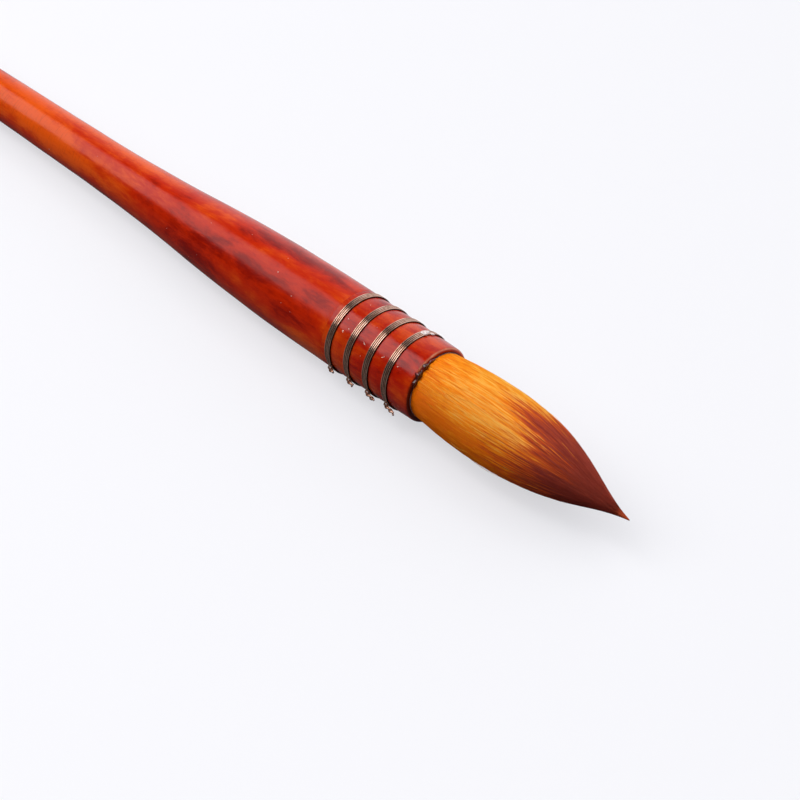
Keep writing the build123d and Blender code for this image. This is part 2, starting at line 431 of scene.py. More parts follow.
def lacquer_group():
    """Stained wood or quill under lacquer: clouds and blotches drawn out along the brush, fine grain
    along it and faint strokes across it, dust that settled in the film, and the film's own soft
    waves."""
    found = bpy.data.node_groups.get("lacquer film")
    if found:
        return found
    inputs = [
        ("Vector", "NodeSocketVector", None),
        ("Clouds per mm", "NodeSocketFloat", 0.1),
        ("Blotches per mm", "NodeSocketFloat", 0.5),
        ("Dark", "NodeSocketColor", None),
        ("Red", "NodeSocketColor", None),
        ("Orange", "NodeSocketColor", None),
        ("Glow", "NodeSocketFloat", 0.5),
        ("Depth", "NodeSocketFloat", 0.9),
    ]
    outputs = [("Color", "NodeSocketColor"), ("Dust", "NodeSocketFloat"), ("Height", "NodeSocketFloat")]
    tree, nodes, given, made = group_of("lacquer film", inputs, outputs)
    vector = given["Vector"]
    cloud = nodes.streaks(vector, 0.3, 1.0, given["Clouds per mm"], 3.0, 0.5)
    blotch = nodes.streaks(vector, 0.38, 1.0, given["Blotches per mm"], 5.0, 0.68, 0.25)
    grain = nodes.streaks(vector, 0.07, 1.0, 2.4, 3.0, 0.6)
    strokes = nodes.streaks(vector, 1.0, 0.16, 3.2, 3.0, 0.6)
    light = nodes.sum((cloud, 0.66), (blotch, 0.44), (grain, 0.08))
    orange = nodes.math("MULTIPLY", nodes.spread(light, 0.53, 0.69), given["Glow"], clamp=True)
    dark = nodes.math("MULTIPLY", nodes.spread(light, 0.55, 0.43), given["Depth"])
    ground = nodes.mix(orange, given["Red"], given["Orange"])
    ground = nodes.mix(dark, ground, given["Dark"])
    faint = nodes.spread(cloud, 0.42, 0.6, 0.0, 0.22)
    faint = nodes.math("MULTIPLY", nodes.spread(strokes, 0.50, 0.72), faint)
    ground = nodes.mix(faint, ground, given["Dark"])
    nodes.join(ground, made["Color"])
    dust = nodes.add("ShaderNodeTexVoronoi", feature="F1")
    nodes.put(dust.inputs["Vector"], vector)
    dust.inputs["Scale"].default_value = 0.42
    speck = nodes.spread(dust.outputs["Distance"], 0.036, 0.054, 1.0, 0.0)
    apart = nodes.add("ShaderNodeSeparateColor")
    nodes.join(dust.outputs["Color"], apart.inputs[0])
    speck = nodes.math("MULTIPLY", speck, nodes.math("GREATER_THAN", apart.outputs[0], 0.72))
    nodes.join(speck, made["Dust"])
    wave = nodes.streaks(vector, 0.45, 1.0, 0.42, 3.0, 0.5)
    nodes.join(nodes.math("ADD", wave, nodes.math("MULTIPLY", speck, 1.2)), made["Height"])
    return tree


def lacquer_material(
    name, red, *, clouds_per_mm, blotches_per_mm, glow, depth, rough, gloss, wave_height, rim=False
):
    """Clear glossy lacquer over a mottled red ground, and with rim, a painted highlight along its edge and the
    glue on its face. glow is how orange the ground turns, and depth is how dark."""
    material, nodes, shader = new_material(name)
    tone = looks()
    film = use_group(
        nodes,
        lacquer_group(),
        Vector=brush_coordinates(nodes),
        Clouds_per_mm=clouds_per_mm,
        Blotches_per_mm=blotches_per_mm,
        Dark=(*tone.lacquer_dark, 1),
        Red=(*red, 1),
        Orange=(*tone.lacquer_orange, 1),
        Glow=glow,
        Depth=depth,
    )
    ground = nodes.mix(nodes.math("MULTIPLY", film["Dust"], 0.75), film["Color"], (*tone.pale_dust_and_highlight, 1))
    if rim:
        # A painted highlight in light orange along the upper half of the rim's outer edge.
        uneven = nodes.spread(film["Height"], 0.35, 0.6, 0.5, 1.0)
        edge_highlight = nodes.math("MULTIPLY", nodes.value("rim_edge_highlight"), uneven)
        ground = nodes.mix(edge_highlight, ground, (0.86, 0.34, 0.18, 1))
        ground = nodes.mix(nodes.value("rim_film"), ground, (*tone.glue, 1))
    nodes.join(ground, shader["Base Color"])
    nodes.join(nodes.spread(film["Height"], 0.3, 0.7, rough * 0.8, rough * 1.25), shader["Roughness"])
    shader["IOR"].default_value = 1.5
    shader["Specular IOR Level"].default_value = gloss
    nodes.join(bump(nodes, film["Height"], wave_height), shader["Normal"])
    return material


def wire_material():
    """Drawn bronze, aged brown in patches, and nearly black with painted shade in the hollows between its turns.
    """
    material, nodes, shader = new_material("bronze wire")
    tone = looks()
    patches = nodes.noise(nodes.value("along_wire"), 0.3, 3.0, 0.6, shape="1D")
    ground = nodes.mix(nodes.spread(patches, 0.42, 0.68), (*tone.wire_bronze, 1), (*tone.wire_brown, 1))
    # Painted shade darkens the sides of each turn, where it meets its neighbours.
    ground = nodes.mix(nodes.value("hollow"), ground, (*tone.wire_hollow, 1))
    nodes.join(ground, shader["Base Color"])
    shader["Metallic"].default_value = 0.85
    nodes.join(nodes.spread(patches, 0.3, 0.7, 0.14, 0.22), shader["Roughness"])
    dents = nodes.noise(nodes.value("along_wire"), 1.1, 2.0, 0.5, shape="1D")
    nodes.join(bump(nodes, dents, 0.007 * MM), shader["Normal"])
    return material


def glue_material():
    """Dark, wet-looking lacquer with lumps and glints, and a painted highlight along the outer edge of its front
    side.
    """
    material, nodes, shader = new_material("mouth lacquer")
    tone = looks()
    vector = brush_coordinates(nodes)
    lump = nodes.noise(vector, 1.7, 3.0, 0.6)
    ground = nodes.mix(nodes.spread(lump, 0.4, 0.7), (*tone.glue, 1), (*tone.lacquer_dark, 1))
    # Painted highlight along the outer edge of the bead on its front side.
    ground = nodes.mix(nodes.value("lip"), ground, (*tone.pale_dust_and_highlight, 1))
    nodes.join(ground, shader["Base Color"])
    nodes.join(nodes.spread(lump, 0.3, 0.7, 0.12, 0.3), shader["Roughness"])
    shader["Coat Weight"].default_value = 0.6
    shader["Coat Roughness"].default_value = 0.06
    nodes.join(bump(nodes, lump, 0.12 * MM), shader["Normal"])
    return material


def dipped_group():
    """Colour of hair whose end was dipped: amber tones by hair and in short streaks along it, then a
    red-brown that starts at each hair's own place in ragged tongues, warm at its edge and darker in
    some hairs, and a paler tip."""
    found = bpy.data.node_groups.get("dipped hair")
    if found:
        return found
    colours = ("Amber", "Light", "Dark", "Dip", "Dip dark", "Dip warm")
    inputs = [
        ("Along", "NodeSocketFloat", 0.0),
        ("Lot", "NodeSocketFloat", 0.5),
        ("Start", "NodeSocketFloat", 18.0),
        ("Vector", "NodeSocketVector", None),
    ] + [(c, "NodeSocketColor", None) for c in colours]
    tree, nodes, given, made = group_of("dipped hair", inputs, [("Color", "NodeSocketColor")])
    lot, along, vector = given["Lot"], given["Along"], given["Vector"]
    fine = nodes.streaks(vector, 0.05, 1.0, 6.4, 2.0, 0.6)
    wide = nodes.streaks(vector, 0.08, 1.0, 1.2, 3.0, 0.55)
    tone = nodes.sum((fine, 0.5), (wide, 0.22), (lot, 0.28))
    lighter = nodes.math("ADD", tone, nodes.spread(along, -1.0, 11.0, -0.11, 0.015))
    amber = nodes.mix(nodes.spread(lighter, 0.49, 0.64), given["Amber"], given["Light"])
    amber = nodes.mix(nodes.spread(lighter, 0.49, 0.34), amber, given["Dark"])
    long = nodes.streaks(vector, 0.03, 1.0, 4.6, 2.0, 0.7)
    ragged = nodes.sum((long, 0.78), (fine, 0.22))
    ragged = nodes.math("MULTIPLY", nodes.math("SUBTRACT", ragged, 0.5), 32.0)
    past = nodes.math("SUBTRACT", nodes.math("SUBTRACT", along, given["Start"]), ragged)
    dipped = nodes.spread(past, -1.3, 2.4)
    edge = nodes.math("MULTIPLY", nodes.spread(past, -4.2, 0.4), nodes.spread(past, 6.5, 1.2))
    dip = nodes.mix(nodes.spread(tone, 0.40, 0.62), given["Dip dark"], given["Dip"])
    result = nodes.mix(dipped, amber, dip)
    result = nodes.mix(nodes.math("MULTIPLY", edge, 0.85), result, given["Dip warm"])
    result = nodes.mix(nodes.spread(along, 34.5, 38.2, 0.0, 0.7), result, given["Dip warm"])
    nodes.join(result, made["Color"])
    return tree


def hair_material(name, dim=0.0):
    """Fine straight hair with little gloss; dim paints shade onto hair that lies under other hair."""
    material, nodes, shader = new_material(name)
    tone = looks()
    along = nodes.value("along")
    place_on_head = nodes.add("ShaderNodeCombineXYZ")
    nodes.join(along, place_on_head.inputs["X"])
    nodes.join(nodes.value("out_side"), place_on_head.inputs["Y"])
    nodes.join(nodes.value("out_up"), place_on_head.inputs["Z"])
    dyed = use_group(
        nodes,
        dipped_group(),
        Along=along,
        Lot=nodes.value("lot"),
        Start=nodes.value("dip_start"),
        Vector=place_on_head.outputs[0],
        Amber=(*tone.amber, 1),
        Light=(*tone.amber_light, 1),
        Dark=(*tone.amber_dark, 1),
        Dip=(*tone.dip, 1),
        Dip_dark=(*tone.dip_dark, 1),
        Dip_warm=(*tone.dip_warm, 1),
    )
    shade = nodes.mix(dim, dyed["Color"], (0.22, 0.03, 0.0, 1)) if dim else dyed["Color"]
    nodes.join(shade, shader["Base Color"])
    shader["Roughness"].default_value = 0.5
    shader["Specular IOR Level"].default_value = 0.12
    return material


def plain_material(name, base, *, rough, grains_per_mm, grain_height):
    """A plain material with an uneven grain, for pieces inside the tube."""
    material, nodes, shader = new_material(name)
    grain = nodes.noise(brush_coordinates(nodes), grains_per_mm, 4.0, 0.6)
    ground = nodes.mix(nodes.spread(grain, 0.3, 0.7), (*base, 1), tuple(c * 0.55 for c in base) + (1,))
    nodes.join(ground, shader["Base Color"])
    shader["Roughness"].default_value = rough
    nodes.join(bump(nodes, grain, grain_height), shader["Normal"])
    return material


# Handle ---------------------------------------------------------------------------------------

SHOULDER_ROUND = 0.015 * MM  # rounding of the edge where handle and tube meet


def flank():
    """The handle's curve from its swell down to its waist, as points of (along, radius)."""
    size = sizes()
    swell_x = -size.tube_length - size.swell_land
    waist_x = swell_x - size.swell_length
    rear_x = -size.tube_length - size.handle_length
    slope = (size.waist - size.tail) / (waist_x - rear_x - size.tail - size.tail_length)
    points = [
        (swell_x, size.tube_rear),
        (swell_x - size.swell_lead, size.tube_rear - 0.003 * size.swell_lead),
        (waist_x + size.waist_lead, size.waist + slope * size.waist_lead),
        (waist_x, size.waist),
    ]
    return bezier(points, 60)


def handle_outline():
    """The handle from its rounded end, along the tail, taper and swell, to its shoulder at the tube."""
    size = sizes()
    rear_x = -size.tube_length - size.handle_length
    dome = arc_points((rear_x + size.tail, 0), size.tail, np.pi, np.pi / 2, 18)
    tail_x = rear_x + size.tail + size.tail_length
    round_off = SHOULDER_ROUND
    shoulder = -size.tube_length
    corners = [
        (tail_x, size.tail),
        *flank()[::-1],
        (shoulder - round_off, size.tube_rear),
        (shoulder - 0.3 * round_off, size.tube_rear - 0.3 * round_off),
        (shoulder, size.tube_rear - round_off),
        (shoulder, 0.4 * size.tube_rear),
        (shoulder, 0),
    ]
    return evenly(np.concatenate([dome, np.array(corners)]), 0.9 * MM)


def handle_lumps(along, angle):
    """Hand-turned wood under brushed lacquer is never quite round: soft lumps of a few hundredths."""
    fade = smooth(-sizes().tube_length, -sizes().tube_length - 3 * MM, along)
    return fade * 0.035 * MM * waves(3, 9, along, angle, 14 * MM, 3)


class BRUSH_OT_handle(bpy.types.Operator):
    """Makes the turned handle and its lacquer"""

    bl_idname = "brush.handle"
    bl_label = "Handle"

    def execute(self, context):
        material = lacquer_material(
            "handle lacquer",
            looks().lacquer_red,
            clouds_per_mm=0.09,
            blotches_per_mm=0.32,
            glow=1.0,
            depth=0.9,
            rough=0.21,
            gloss=0.18,
            wave_height=0.06 * MM,
        )
        piece = turned("handle_wood", handle_outline(), material, handle_lumps)
        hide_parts("handle")
        return {"FINISHED"}


# Quill tube -----------------------------------------------------------------------------------

TURNS = 4  # turns of wire in a band
TUBE_COLUMNS = 160  # points round the tube
BEAD_COLUMNS = 360  # points round the bead, close enough for its small lumps


def taper(along):
    """Outer radius of the tube's taper: a straight line from its rear to its mouth."""
    size = sizes()
    return size.tube_mouth + (size.tube_mouth - size.tube_rear) * along / size.tube_length


def along_axis(node):
    """How far a CAD node reaches along the brush's axis: its lowest and highest place from the mouth."""
    reach = cad_points(node) @ AXIS
    return reach.min(), reach.max()


def bands():
    """Name, middle and length of the twisted end of each wire band, read from the frame."""
    width = TURNS * sizes().wire
    found = []
    for name in sorted(n for n in frame["nodes"] if n.startswith("wire_ring_")):
        rear, front = along_axis(name)
        found.append((name, rear + width / 2, front - rear - width))
    return found


def tube_skin(along):
    """Outer radius of the tube: its taper, pinched by band_bite under each band, swollen between the
    bands, and with the lacquer drawn up beside the wire."""
    size = sizes()
    half = TURNS / 2 * size.wire
    middles = np.array([middle for _, middle, _ in bands()])
    distance = np.abs(along[..., None] - middles).min(-1) - half
    gap = (middles[1] - middles[0]) / 2 - half
    swell = np.clip(distance / gap, 0, 1)
    bite = size.band_bite * (1 - swell) ** 2 * (distance > -half)
    reach = 0.16 * MM
    film = size.meniscus * np.exp(-np.clip(distance, 0, None) / reach) * (distance >= 0)
    edge = smooth(-size.tube_length, -size.tube_length + 0.8 * MM, along)
    return taper(along) - bite * edge + film * edge


def tube_outline():
    """The tube from its rear edge along its skin, round the rim, and back along its bore."""
    size = sizes()
    rim = size.rim_round
    steps = np.arange(-size.tube_length + SHOULDER_ROUND, -rim, 0.07 * MM)
    skin = np.stack([steps, tube_skin(steps)], axis=-1)
    rim_arc = arc_points((-rim, size.tube_mouth - rim), rim, np.pi / 2, 0, 9)
    bore, rear_bore = size.tube_mouth - size.tube_wall, size.tube_rear - size.tube_wall
    inner_round = 0.15 * MM
    inner_arc = arc_points((-inner_round, bore + inner_round), inner_round, 0, -np.pi / 2, 5)
    rear = [(-size.tube_length, rear_bore), (-size.tube_length, size.tube_rear - SHOULDER_ROUND)]
    return np.concatenate([skin, rim_arc, inner_arc, np.array(rear)])


def tube_lumps(along, radius, angle):
    """Quill is not quite round and its lacquer is thick: soft lumps on the skin and a slightly uneven
    rim."""
    outer = radius > sizes().tube_mouth - sizes().tube_wall * 0.6
    calm = smooth(-sizes().tube_length, -sizes().tube_length + 2 * MM, along)
    lump = 0.03 * MM * waves(11, 8, along, angle, 5 * MM, 5) * calm
    near_rim = smooth(-1.2 * MM, 0.0, along)
    shift = 0.07 * MM * waves(5, 6, along * 0, angle, 5 * MM, 7) * near_rim
    return along + shift, radius + lump * outer


def rim_values():
    """How much of the rim's outer edge carries a painted highlight, and how much of the glue film on its face,
    each point
    of the tube shows: the highlight along the upper half, the film on the front and under sides."""
    outline = tube_outline()
    angle = columns_round(TUBE_COLUMNS)
    along, radius = outline[:, 0][:, None], outline[:, 1][:, None]
    outer = sizes().tube_mouth
    # Painted highlight: a thin line round the rim's outer edge, on the upper half only.
    edge = np.exp(-(((along + 0.10 * MM) / (0.12 * MM)) ** 2))
    edge = edge * smooth(outer - 0.35 * MM, outer - 0.1 * MM, radius)
    top = smooth(2.5, 1.9, angle)
    face = smooth(-0.16 * MM, -0.03 * MM, along) * smooth(2.2, 2.6, angle) * smooth(5.2, 4.8, angle)
    inner = smooth(outer - 0.5 * MM, outer - 0.62 * MM, radius) * smooth(-0.4 * MM, 0.0, along)
    film = np.maximum(0.8 * face, 0.85 * inner)
    return {"rim_edge_highlight": edge * top, "rim_film": np.broadcast_to(film, (len(outline), TUBE_COLUMNS))}


class BRUSH_OT_tube(bpy.types.Operator):
    """Makes the quill tube and its lacquer"""

    bl_idname = "brush.tube"
    bl_label = "Quill tube"

    def execute(self, context):
        material = lacquer_material(
            "tube lacquer",
            looks().tube_red,
            clouds_per_mm=0.14,
            blotches_per_mm=0.7,
            glow=0.6,
            depth=1.0,
            rough=0.15,
            gloss=0.27,
            wave_height=0.035 * MM,
            rim=True,
        )
        piece = ring_shaped("quill_skin", tube_outline(), material, tube_lumps, TUBE_COLUMNS)
        add_values(piece, **rim_values())
        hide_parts("quill_tube")
        return {"FINISHED"}


def bead_outline():
    """Cross-section of the sealing bead: a low hump in the corner between the rim and the hair."""
    size = sizes()
    inner = size.hair_root - 0.2 * MM
    outer = size.tube_mouth - size.tube_wall + 0.12 * MM
    t = np.linspace(0, np.pi, 13)
    height, depth = 0.16 * MM, 0.3 * MM
    radius = (outer + inner) / 2 + (outer - inner) / 2 * np.cos(t)
    hump = np.stack([height * np.sin(t) ** 0.8, radius], axis=-1)
    back = np.array([(-depth, inner), (-depth, outer)])
    return np.concatenate([hump, back])


def bead_lumps(along, radius, angle):
    """The bead is thin at the top, and on the front side glue was pushed up in lumps that spill over
    the rim."""
    size = sizes()
    front = smooth(-0.05 * MM, 0.1 * MM, along)
    share = smooth(size.hair_root, size.tube_mouth - size.tube_wall + 0.1 * MM, radius)
    heap = smooth(1.6, 1.95, angle) * smooth(2.75, 2.35, angle)
    heap = heap * (0.75 + 1.1 * waves(21, 10, along * 0, angle, 1.0, 34))
    rise = (0.36 * heap + 0.05 * waves(22, 12, along * 0, angle, 1.0, 60)) * MM
    spill = (0.62 * np.clip(heap, 0, 1.2) + 0.05 * waves(23, 10, along * 0, angle, 1.0, 40)) * MM
    return along + front * np.clip(rise, -0.1 * MM, None), radius + share * spill


class BRUSH_OT_bead(bpy.types.Operator):
    """Makes the bead of dark lacquer at the mouth"""

    bl_idname = "brush.bead"
    bl_label = "Mouth bead"

    def execute(self, context):
        outline = bead_outline()
        piece = ring_shaped("mouth_glue", outline, glue_material(), bead_lumps, BEAD_COLUMNS)
        angle = columns_round(BEAD_COLUMNS)
        # Painted highlight: the bead's outer edge, on the front side only.
        lip = (np.arange(len(outline)) < 3)[:, None] * smooth(2.75, 2.95, angle) * smooth(3.9, 3.5, angle)
        add_values(piece, lip=lip)
        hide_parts("mouth_bead")
        return {"FINISHED"}


# Wire bands -----------------------------------------------------------------------------------

TWIST_LAY = 1.9 * MM  # length of one turn of the twisted ends
TWIST_LEAN = np.radians(9)  # how far they lean off the tube
TWIST_RADIUS = 0.54  # from their middle line to each wire's, in wire diameters
TURN_STEPS = 88  # points in one turn of a band
DRAWN_RADIUS = 0.47  # of the wire as it is made, in wire diameters, so that turns side by side stay apart
TWIST_GAP = 0.20  # radians between the twisted ends and where the first turn starts or the last one stops


def twist_angle():
    """Angle about the axis at which the twisted ends lie: that of the front ring's points past its
    band."""
    name, middle, _ = bands()[-1]
    points = cad_points(name)
    ahead = points[points @ AXIS > middle + TURNS * sizes().wire]
    return np.arctan2((ahead @ UP).mean(), (ahead @ SIDE).mean()) % TURN


def wire_path(middle, twist):
    """One wire from cut end to cut end: a twisted tail, a lead down onto the band, four turns side by
    side that step sideways just past the tails, a lead back up, and the other twisted tail. Columns are
    along, radius, angle."""
    size = sizes()
    wire = size.wire
    seat = taper(middle) - size.band_bite + wire / 2
    where = twist_angle()
    foot_x, foot_r = middle - 0.1 * MM, seat + 1.5 * wire
    reach = TURNS / 2 * wire + twist - foot_x + middle
    lean = TWIST_LEAN

    def tail(phase, share):
        """A helix of half a wire's radius about a line that leaves the band and leans off the tube."""
        s = np.linspace(0, share * reach / np.cos(lean), 54)
        turn = phase + TURN * s / TWIST_LAY
        off = TWIST_RADIUS * wire * np.sin(turn)
        radius = foot_r + s * np.sin(lean) + off * np.cos(lean)
        angle = where + TWIST_RADIUS * wire * np.cos(turn) / radius
        return np.stack([foot_x + s * np.cos(lean) - off * np.sin(lean), radius, angle], axis=-1)

    start, end = where + TWIST_GAP, where + TURNS * TURN - TWIST_GAP
    angle = np.linspace(start, end, TURNS * TURN_STEPS)
    turns = (angle - where) / TURN
    step = smooth(0.90, 1.02, turns % 1)
    column = np.floor(turns) + step * (np.floor(turns) < TURNS - 1)
    winding_x = middle + (column - (TURNS - 1) / 2) * wire
    winding = np.stack([winding_x, np.full_like(angle, seat), angle], axis=-1)
    first = tail(0.0, 1.0)[::-1]
    last = tail(np.pi, 0.94) + np.array([0, 0, TURNS * TURN])
    over = np.linspace(0, 1, 16)[1:-1, None]
    back = first[-1] + (winding[0] - first[-1]) * over
    back[:, 1] = seat + (first[-1, 1] - seat) * (1 - smooth(0.35, 1.0, over[:, 0]))
    ahead = winding[-1] + (last[0] - winding[-1]) * over
    ahead[:, 1] = seat + (last[0, 1] - seat) * smooth(0.0, 0.65, over[:, 0])
    return soften(np.concatenate([first, back, winding, ahead, last]))


def soften(path):
    """Each point moved to the mean of its neighbourhood, a few times over, with the two ends kept."""
    for _ in range(3):
        path[1:-1] = (path[:-2] + 2 * path[1:-1] + path[2:]) / 4
    return path


def wire_tube(name, path, material, columns=14):
    """A round wire along a path: at each point a circle across the path, turned by the direction out of
    the brush's axis, with the two cut ends closed."""
    points = around(path[:, 0], path[:, 1], path[:, 2])
    outward = around(0, 1, path[:, 2])
    forward = np.gradient(points, axis=0)
    forward /= np.linalg.norm(forward, axis=1, keepdims=True)
    across = outward - (outward * forward).sum(1, keepdims=True) * forward
    across /= np.linalg.norm(across, axis=1, keepdims=True)
    beside = np.cross(forward, across)
    turn = columns_round(columns)[None, :, None]
    radius = DRAWN_RADIUS * sizes().wire
    rings = points[:, None] + radius * (np.cos(turn) * across[:, None] + np.sin(turn) * beside[:, None])
    every = np.concatenate([rings.reshape(-1, 3), points[:1], points[-1:]])
    piece = new_piece(name, place(every), closed_faces(len(path), columns), material, "brush")
    steps = np.linalg.norm(np.diff(points, axis=0), axis=1)
    length_along = np.concatenate([[0], np.cumsum(steps)]) / MM
    ends = [length_along[0], length_along[-1]]
    # Painted shade on the sides of each wound turn, where the turns meet; the twisted tails, off the band, get
    # none.
    wound = smooth(0.8, 0.2, (path[:, 1] - path[:, 1].min()) / sizes().wire)[:, None]
    hollow = smooth(0.90, 0.55, np.cos(turn[..., 0])) * wound
    add_values(
        piece,
        along_wire=np.concatenate([np.repeat(length_along, columns), ends]),
        hollow=np.concatenate([hollow.ravel(), [0, 0]]),
    )
    return piece


def droplets(name, spots, material):
    """Small rounded drops on the brush. Each spot is (along, radius, angle, half length, half width,
    height, turn): a half ellipsoid, turned on the spot and a little lumpy."""
    spots = np.array(spots, float)
    rows, columns = 7, 14
    tilt = np.linspace(-0.35, np.pi / 2 - 0.05, rows)[:, None]
    around_spot = columns_round(columns)[None, :]
    along, radius, angle, half_long, half_wide, height, turn = spots.T[:, :, None, None]
    uneven = 1 + 0.22 * np.sin(3 * around_spot + 40 * turn) * np.cos(tilt)
    u = half_long * np.cos(tilt) * np.cos(around_spot) * uneven
    v = half_wide * np.cos(tilt) * np.sin(around_spot) * uneven
    x = along + u * np.cos(turn) - v * np.sin(turn)
    aside = u * np.sin(turn) + v * np.cos(turn)
    rings = around(x, radius + height * np.sin(tilt), angle + aside / radius)
    crowns = around(spots[:, 0], spots[:, 1] + spots[:, 5], spots[:, 2])
    points = np.concatenate([rings.reshape(len(spots), -1, 3), crowns[:, None]], axis=1)
    top = rows * columns
    first = (np.arange(len(spots)) * (top + 1))[:, None, None]
    quads = (grid_faces(rows, columns) + first).reshape(-1, 4).tolist()
    fans = (end_fan(top - columns, columns, top) + first).reshape(-1, 3).tolist()
    return new_piece(name, place(points.reshape(-1, 3)), quads + fans, material, "brush")


def speck_spots():
    """Dust and lint caught in the lacquer: a few plain to see near the bands, and smaller ones sown all
    round. Both are (along, angle in degrees, half length, half width), in millimetres."""
    rng = np.random.default_rng(looks().seed + 50)
    plain = [
        (-14.8, 138, 0.20, 0.12),
        (-14.1, 131, 0.10, 0.08),
        (-10.4, 136, 0.26, 0.07),
        (-6.4, 137, 0.30, 0.06),
        (-3.4, 137, 0.11, 0.10),
        (-30.9, 120, 0.12, 0.10),
        (-15.2, 120, 0.09, 0.07),
    ]
    ranges = [(-60, -1), (0, 360), (0.03, 0.08), (0.03, 0.06)]
    sown = np.stack([rng.uniform(low, high, 46) for low, high in ranges], axis=-1)
    every = np.concatenate([np.array(plain), sown])
    along = every[:, 0] * MM
    skin = flank()[::-1]
    behind = np.interp(along, skin[:, 0], skin[:, 1])
    radius = np.where(along > -sizes().tube_length, tube_skin(along), behind)
    turn = rng.uniform(0, TURN, len(every))
    height = 0.55 * every[:, 3] * MM
    angle = np.radians(every[:, 1])
    return np.stack([along, radius, angle, every[:, 2] * MM, every[:, 3] * MM, height, turn], axis=-1)


def speck_material(name, pale, shade):
    """Pale dust, or clear glue coloured pale as a painted highlight, uneven in tone, under gloss."""
    material, nodes, shader = new_material(name)
    grain = nodes.noise(brush_coordinates(nodes), 5.0, 2.0, 0.5)
    nodes.join(nodes.mix(nodes.spread(grain, 0.45, 0.7), (*pale, 1), (*shade, 1)), shader["Base Color"])
    shader["Roughness"].default_value = 0.14
    return material


class BRUSH_OT_wires(bpy.types.Operator):
    """Makes the four bands of bronze wire, the drop on the front one and the specks near them"""

    bl_idname = "brush.wires"
    bl_label = "Wire bands"

    def execute(self, context):
        material = wire_material()
        for name, middle, twist in bands():
            piece = wire_tube(name.replace("ring", "band"), wire_path(middle, twist), material)
            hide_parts(name)
        middle = bands()[-1][1]
        crown = taper(middle) - sizes().band_bite + 0.9 * sizes().wire
        tone = looks()
        dust = speck_material("dust in lacquer", (0.86, 0.56, 0.48), tone.pale_dust_and_highlight)
        # The clear glue drop is coloured pale: a painted highlight.
        clear = speck_material("glue drop", (0.90, 0.82, 0.80), tone.pale_dust_and_highlight)
        drop = [
            (middle + 0.1 * MM, crown, np.radians(70), 0.52 * MM, 0.85 * MM, 0.30 * MM, 0.0),
            (middle + 0.5 * MM, crown - 0.1 * MM, np.radians(60), 0.28 * MM, 0.42 * MM, 0.16 * MM, 0.3),
        ]
        droplets("glue_drop", drop, clear)
        droplets("lacquer_specks", speck_spots(), dust)
        return {"FINISHED"}


# Hair -----------------------------------------------------------------------------------------


def hair_skin(along):
    """Radius of the head of hair: one curve from the mouth to the belly and one on to the tip."""
    size = sizes()
    root, belly, at, tip = size.hair_root, size.belly, size.belly_at, size.hair_length
    rise = [(0, root), (0.19 * at, root + 0.42 * (belly - root)), (0.58 * at, belly), (at, belly)]
    fall = [(at, belly), (at + 15.9 * MM, belly), (tip - 7.8 * MM, 1.47 * MM), (tip, 0.05 * MM)]
    inside = [(-4 * MM, root - 0.12 * MM)]
    curve = np.concatenate([inside, bezier(rise, 40), bezier(fall, 80)[1:]])
    return np.interp(along, curve[:, 0], curve[:, 1])


def droop(points):
    """Points of the head, moved so that the tip leans down towards the side of the twisted wire ends."""
    size = sizes()
    where = np.radians(218)  # about the axis, where the twisted ends are
    lean = size.tip_droop * smooth(0.45 * size.hair_length, 1.25 * size.hair_length, points[..., 0]) * 2
    points = points.copy()
    points[..., 1] += lean * np.cos(where)
    points[..., 2] += lean * np.sin(where)
    return points


def dip_place(rng, angle):
    """Where each hair turns dark, in millimetres: near 19, with uneven tongues round the head, a long
    pale tongue and an early dark one on the front side, and a scatter from hair to hair."""
    tongues = 1.8 * waves(41, 7, angle * 0, angle, 1.0, 7) + 2.2 * waves(42, 7, angle * 0, angle, 1.0, 26)
    lobe = 1.8 * np.exp(-(((angle - 2.2) / 0.5) ** 2)) - 3.2 * np.exp(-(((angle - 1.4) / 0.22) ** 2))
    return 19.2 + tongues + lobe + rng.normal(0, 1.5, angle.shape)


def hair_lot_and_shade(rng, angle, middle):
    """Each hair's own lightness from 0 to 1, with painted shade that lowers it on the underside."""
    # Painted shade: hairs on the underside are made darker.
    shaded_underside = smooth(2.3, 3.2, angle) * smooth(6.2, 5.4, angle)
    return np.clip(rng.normal(middle, 0.22, angle.shape) - 0.9 * shaded_underside, -0.2, 1)


def finish_hair(piece):
    """Bakes the piece's place into its points."""
    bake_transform(piece)


def outwards(centre):
    """The way out of the axis at each point, at six units' length, so that a pattern keeps to its hair
    however the head tapers or bends: its share along the side and its share upwards."""
    out = 6 * centre[..., 1:] / (np.linalg.norm(centre[..., 1:], axis=-1, keepdims=True) + 1e-9)
    return out[..., 0], out[..., 1]


